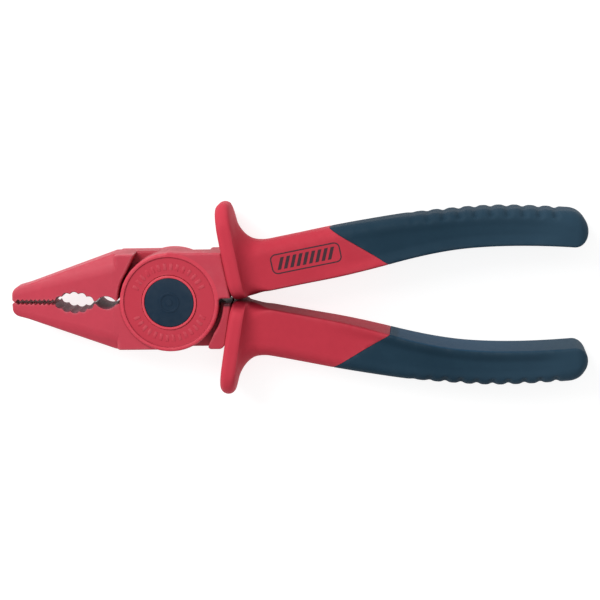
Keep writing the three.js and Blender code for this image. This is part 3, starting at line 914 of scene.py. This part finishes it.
def lever_tone_and_painted_light(t, shade, roughness):
    """A paler rim round the joint face as a painted highlight, and painted shade in the groove, the gaps, on
    the web and in the jaw's hollows.
    """
    place = t.add("SeparateXYZ")
    t.put(place.inputs[0], t.add("TexCoord").outputs["Object"])
    x, y, z = (
        t.math("MULTIPLY", t.math("SUBTRACT", value, middle), 1 / MM)
        for value, middle in zip(place.outputs, PIVOT)
    )
    r = t.math("SQRT", t.math("ADD", t.math("MULTIPLY", x, x), t.math("MULTIPLY", y, y)))
    height = t.math("ABSOLUTE", z)
    # the joint face: the ring inside the rim, the rim with its painted highlight, and the groove between
    # them as a painted shadow line
    on_face = t.ramp(height, PLATE_HALF - 0.9, PLATE_HALF - 0.7)
    etched = t.math("MULTIPLY", on_face, t.ramp(r, FACE_R - 0.3, FACE_R, 1, 0))
    from_rim = t.math("ABSOLUTE", t.math("SUBTRACT", r, (FACE_R + DISC_R) / 2))
    rim = t.math("MULTIPLY", on_face, t.ramp(from_rim, 0.7, 0.9, 1, 0))
    from_groove = t.math("ABSOLUTE", t.math("SUBTRACT", r, FACE_R - 0.05))
    groove = t.math("MULTIPLY", t.ramp(from_groove, 0.1, 0.3, 1, 0), on_face)
    # painted shade on the web between jaw and joint, on the sides of the shank, and in the slit between the
    # shanks
    web = t.math("MULTIPLY", t.ramp(height, 3.0, 7.0, 1, 0), t.ramp(r, 24.0, 27.0, 1, 0))
    shank = t.math("MULTIPLY", t.ramp(x, 12.0, 15.0), t.ramp(height, 8.9, 9.3, 1, 0))
    slit = t.math("MULTIPLY", t.ramp(t.math("ABSOLUTE", y), 1.5, 2.4, 1, 0), t.ramp(x, 16.0, 18.5))
    slit = t.math("MULTIPLY", slit, t.math("SUBTRACT", 1.0, on_face))
    for mask, share, colour in (
        (etched, 0.6, FACE_RED),
        (rim, 0.45, RIM_HIGHLIGHT_RED),
        (groove, 0.2, GROOVE_SHADOW),
        (web, 0.45, WEB_SHADE),
        (shank, 0.3, SHANK_SHADE),
        (slit, 0.92, SLIT_SHADE),
        (t.attribute("bite"), 0.7, BITE_SHADE),
    ):
        shade = t.mix(t.math("MULTIPLY", mask, share), shade, colour)
    return shade, roughness


def add_recess_shade(mesh, p, n):
    """Marks the walls of the hollows in the jaw face, which take a purple-grey painted shade."""
    inside = (p[:, 0] > PIPE["from"] - 0.3) & (p[:, 0] < WIRE["to"] + 0.5) & (np.abs(p[:, 1]) < 5)
    amount = np.where(inside, np.clip((np.abs(n[:, 1]) + np.abs(n[:, 0]) - 0.55) * 3, 0, 1), 0)
    amount = amount * np.clip((0.98 - np.abs(n[:, 2])) * 8, 0, 1)
    rest = np.zeros(len(mesh.vertices) - len(p))
    made = mesh.attributes.new("bite", "FLOAT", "POINT")
    made.data.foreach_set("value", np.concatenate([amount, rest]).astype(np.float32))


def add_sides(mesh, over):
    """Marks the side that faces the other handle, the end of the handle, and the guard's bead."""
    p = np.empty(len(mesh.vertices) * 3)
    n = np.empty(len(mesh.vertices) * 3)
    mesh.vertices.foreach_get("co", p)
    mesh.vertices.foreach_get("normal", n)
    x = p.reshape(-1, 3)[:, 0] / MM
    facing = n.reshape(-1, 3)[:, 1] * (1 if over else -1)
    near = np.clip((facing - 0.55) * 4, 0, 1)
    across = np.abs(p.reshape(-1, 3)[:, 1] - PIVOT.y) / MM
    s = (x - PIVOT.x / MM - SPINE_X) * math.cos(SPINE_ANGLE) + (across - SPINE_Y) * math.sin(SPINE_ANGLE)
    along = np.where(x < 85, 0.75 - 0.5 * smooth(x, 30, 75), 0.75 * (1 - smooth(x, 110, 155)))
    bead = 1 - smooth(s, GUARD_END - 1.0, GUARD_END + 1.5)
    # the side facing the other handle gets painted shade on the sleeve and painted light on the grip; the
    # guard's bead gets a painted highlight; the grip turns paler towards its end
    for name, value in (("inner", near * along), ("end_pale", smooth(x, 95, 150)), ("bead", bead)):
        made = mesh.attributes.new(name, "FLOAT", "POINT")
        made.data.foreach_set("value", value.astype(np.float32))


def add_badge(mesh, points):
    """Stores where each vertex lies on the printed mark's panel, on the face that carries it."""
    p = np.array(points)
    dx, dy = p[:, 0] - SPINE_X, p[:, 1] - SPINE_Y
    s = dx * math.cos(SPINE_ANGLE) + dy * math.sin(SPINE_ANGLE)
    o = -dx * math.sin(SPINE_ANGLE) + dy * math.cos(SPINE_ANGLE)
    for name, value in (
        ("badge_u", s - BADGE["along"]),
        ("badge_v", o - BADGE["across"]),
        ("badge_side", (p[:, 2] > 2).astype(float)),
    ):
        made = mesh.attributes.new(name, "FLOAT", "POINT")
        made.data.foreach_set("value", value.astype(np.float32))


lever_red = plastic("lever_red", RED_LEVER, 0.52, mottle=0.05, grain=0.26, wear=0.35, extra=lever_tone_and_painted_light)
satin = {"rough": 0.5, "mottle": 0.04, "grain": 0.06, "wear": 0.22, "gloss": 0.03}
sleeve_red = plastic("sleeve_red", RED_SLEEVE, extra=sleeve_side, **satin)
sleeve_printed = plastic("sleeve_red_printed", RED_SLEEVE, extra=printed_sleeve, **satin)
soft_touch = {"rough": 0.6, "mottle": 0.08, "grain": 0.22, "wear": 0.12, "gloss": 0.05}
grip_navy = plastic("grip_navy", NAVY_GRIP, extra=grip_side, **soft_touch)
pin_red = plastic("pin_red", RED_PIN, 0.4, mottle=0.04, grain=0.05, wear=0.3)
cap_navy = plastic("cap_navy", NAVY_CAP, 0.42, mottle=0.06, grain=0.05, wear=0.15, gloss=0.2)
washer_natural = plastic("washer_natural", NATURAL, 0.4, mottle=0.04, grain=0.04, wear=0.1)


# ======== The pieces ========
def lever_pieces():
    points, faces, normals = lever_mesh()
    body_count = len(points)
    faces = list(faces)
    for more_points, more_faces in (tang_mesh(), face_bars()):
        faces += [tuple(i + len(points) for i in f) for f in more_faces]
        points = np.concatenate([points, more_points])
    for name, node, body, over in (
        ("front_lever_moulding", "front_lever", "front_half", False),
        ("rear_lever_moulding", "rear_lever", "rear_half", True),
    ):
        piece = built(name, points, faces, lever_red, over)
        n = np.empty(len(piece.data.vertices) * 3)
        piece.data.vertices.foreach_get("normal", n)
        n = n.reshape(-1, 3)
        n[:body_count] = normals * ([1, -1, -1] if over else [1, 1, 1])
        piece.data.normals_split_custom_set_from_vertices(n.tolist())
        add_recess_shade(piece.data, points[:body_count], normals)
        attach(piece, body)
        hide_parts(node)


def handle_pieces():
    sleeve_points, sleeve_faces = sleeve_mesh()
    grip_points, grip_faces = grip_mesh()
    for side, body, over in (("upper", "front_half", False), ("lower", "rear_half", True)):
        material = sleeve_red if over else sleeve_printed
        sleeve = built(side + "_sleeve_moulding", sleeve_points, sleeve_faces, material, over, sharp=42)
        add_badge(sleeve.data, sleeve_points)
        grip = built(side + "_grip_moulding", grip_points, grip_faces, grip_navy, over, sharp=42)
        add_sides(sleeve.data, over)
        add_sides(grip.data, over)
        for piece, node, slot in (
            (sleeve, side + "_handle_sleeve", "sleeve_red"),
            (grip, side + "_soft_grip", "grip_navy"),
        ):
            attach(piece, body)
            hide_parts(node)


CAP_R = 9.3
CAP_T = 1.3
CAP_SEAT = PLATE_HALF - CAP_T - 0.1
CAP_ROOM = 0.08
CAP_FACE_DROP = 0.2
CAP_MARK_DROP = 0.05
PLUG_R = 4.2
PLUG_LENGTH = 3
HEAD_Z = SEAT_Z + 0.8
COLLAR_Z = SEAT_Z + 0.9
PIN_R = 7.7
PIN_HOLLOW_R = 5.7
PIN_MOUTH_R = 4.5
COLLAR_HOLE_R = 5.8


def pin_piece():
    corners = [
        (PIN_MOUTH_R, -CAP_SEAT),
        (PIN_HOLLOW_R, -CAP_SEAT),
        (PIN_HOLLOW_R, -HEAD_Z),
        (PIN_R, -HEAD_Z),
        (PIN_R, HEAD_Z),
        (PIN_HEAD_R, HEAD_Z),
        (PIN_HEAD_R, PLATE_HALF),
        (CAP_R + CAP_ROOM, PLATE_HALF),
        (CAP_R + CAP_ROOM, CAP_SEAT),
        (PIN_MOUTH_R, CAP_SEAT),
    ]
    outline = rounded_corners(corners, [0.2, 0.2, 0, 0.3, 0.2, 0.2, 0.24, 0.12, 0, 0.2])
    return turned(outline)


def collar_piece():
    corners = [
        (COLLAR_HOLE_R, -CAP_SEAT),
        (CAP_R + CAP_ROOM, -CAP_SEAT),
        (CAP_R + CAP_ROOM, -PLATE_HALF),
        (PIN_HEAD_R, -PLATE_HALF),
        (PIN_HEAD_R, -COLLAR_Z),
        (COLLAR_HOLE_R, -COLLAR_Z),
    ]
    return turned(rounded_corners(corners, [0.2, 0, 0.12, 0.24, 0.2, 0.2]))


def cap_piece():
    """The cap, with a low raised ring and a small boss in the middle of its face."""
    inner = CAP_SEAT + 0.1
    face = PLATE_HALF - CAP_FACE_DROP
    mark = PLATE_HALF - CAP_MARK_DROP
    corners = [
        (0.02, inner - PLUG_LENGTH),
        (PLUG_R, inner - PLUG_LENGTH),
        (PLUG_R, inner),
        (CAP_R, inner),
        (CAP_R, face),
        (3.9, face),
        (3.8, mark),
        (3.1, mark),
        (3.0, face),
        (1.3, face),
        (1.2, mark),
        (0.02, mark),
    ]
    return turned(rounded_corners(corners, [0, 0.4, 0, 0.15, 0.3, 0.06, 0.06, 0.06, 0.06, 0.06, 0.06, 0]))


def pivot_pieces():
    cap = cap_piece()
    for name, node, shape, material, over, slot in (
        ("pivot_pin_turned", "pivot_pin", pin_piece(), pin_red, False, "pin_red"),
        ("pivot_collar_ring", "pivot_collar", collar_piece(), pin_red, False, "pin_red"),
        ("front_cap_disc", "front_pivot_cap", cap, cap_navy, False, "cap_navy"),
        ("rear_cap_disc", "rear_pivot_cap", cap, cap_navy, True, "cap_navy"),
    ):
        piece = built(name, *shape, material, over, sharp=35)
        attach(piece, "front_half")
        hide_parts(node)
    for node in ("joint_washer", "pin_head_washer", "collar_washer"):
        kept = frame["nodes"][node]
        kept.data.materials.clear()
        kept.data.materials.append(washer_natural)
        add_curvature(kept.data)


lever_pieces()
handle_pieces()
pivot_pieces()


# ======== Floor, light and camera ========
FLOOR_REACH = 8
FLOOR_DROP = 0.0002
FLOOR_GREY = (0.34, 0.34, 0.34)
FLOOR_GLOW = 0.8
SKY_STRENGTH = 0.36


def floor_piece():
    """The white floor under the object, partly emissive so that it stays white."""
    mesh = bpy.data.meshes.new("studio_floor")
    z = bounds_cad[0][2] - FLOOR_DROP
    corners = [(x * FLOOR_REACH, y * FLOOR_REACH, z) for x, y in ((-1, -1), (1, -1), (1, 1), (-1, 1))]
    mesh.from_pydata(corners, [], [(0, 1, 2, 3)])
    t = Tree("studio_floor")
    t.put(t.surface.inputs["Base Color"], FLOOR_GREY)
    t.put(t.surface.inputs["Roughness"], 0.9)
    t.surface.inputs["Specular IOR Level"].default_value = 0.1
    t.surface.inputs["Emission Color"].default_value = (1, 1, 1, 1)
    t.surface.inputs["Emission Strength"].default_value = FLOOR_GLOW
    mesh.materials.append(t.material)
    made = bpy.data.objects.new("studio_floor", mesh)
    bpy.context.scene.collection.objects.link(made)


def area_light(name, place, aim, size, power, colour=(1, 1, 1)):
    lamp = bpy.data.lights.new(name, "AREA")
    lamp.shape = "DISK"
    lamp.size = size
    lamp.energy = power
    lamp.color = colour
    made = bpy.data.objects.new(name, lamp)
    made.location = place
    made.rotation_euler = (Vector(aim) - Vector(place)).to_track_quat("-Z", "Y").to_euler()
    bpy.context.scene.collection.objects.link(made)


def lights():
    centre = (0.05, 0, 0.01)
    area_light("key_light", (-0.55, 0.7, 0.8), centre, 0.8, 11.0)
    area_light("top_light", (0.05, 0.1, 1.4), centre, 1.6, 5.0)
    world = bpy.data.worlds.new("studio")
    world.use_nodes = True
    world.node_tree.nodes["Background"].inputs[0].default_value = (1, 1, 1, 1)
    world.node_tree.nodes["Background"].inputs[1].default_value = SKY_STRENGTH
    bpy.context.scene.world = world


CAMERA_TARGET = (48.5, -1.25, 0)
CAMERA_DISTANCE = 0.680
CAMERA_ROLL = math.radians(1.43)
CAMERA_TO_X = math.sin(math.radians(4.4))
CAMERA_TO_Y = math.sin(math.radians(10))
CAMERA_LENS = 107.885


def camera():
    roll = CAMERA_ROLL
    d = Vector((CAMERA_TO_X, CAMERA_TO_Y, math.sqrt(1 - CAMERA_TO_X**2 - CAMERA_TO_Y**2)))
    target = PIVOT + Vector(CAMERA_TARGET) * MM
    place = target + d * CAMERA_DISTANCE
    forward = (target - place).normalized()
    right = forward.cross(Vector((0, 1, 0))).normalized()
    up = right.cross(forward)
    right, up = right * math.cos(roll) - up * math.sin(roll), right * math.sin(roll) + up * math.cos(roll)
    lens = bpy.data.cameras.new("photo_camera")
    lens.sensor_width = 36
    lens.lens = CAMERA_LENS
    lens.clip_start = 0.01
    lens.clip_end = 20
    made = bpy.data.objects.new("photo_camera", lens)
    made.matrix_world = Matrix(
        (
            (right.x, up.x, -forward.x, place.x),
            (right.y, up.y, -forward.y, place.y),
            (right.z, up.z, -forward.z, place.z),
            (0, 0, 0, 1),
        )
    )
    bpy.context.scene.collection.objects.link(made)
    bpy.context.scene.camera = made


floor_piece()
lights()
camera()
bpy.context.scene.view_settings.view_transform = "Standard"
bpy.context.view_layer.update()
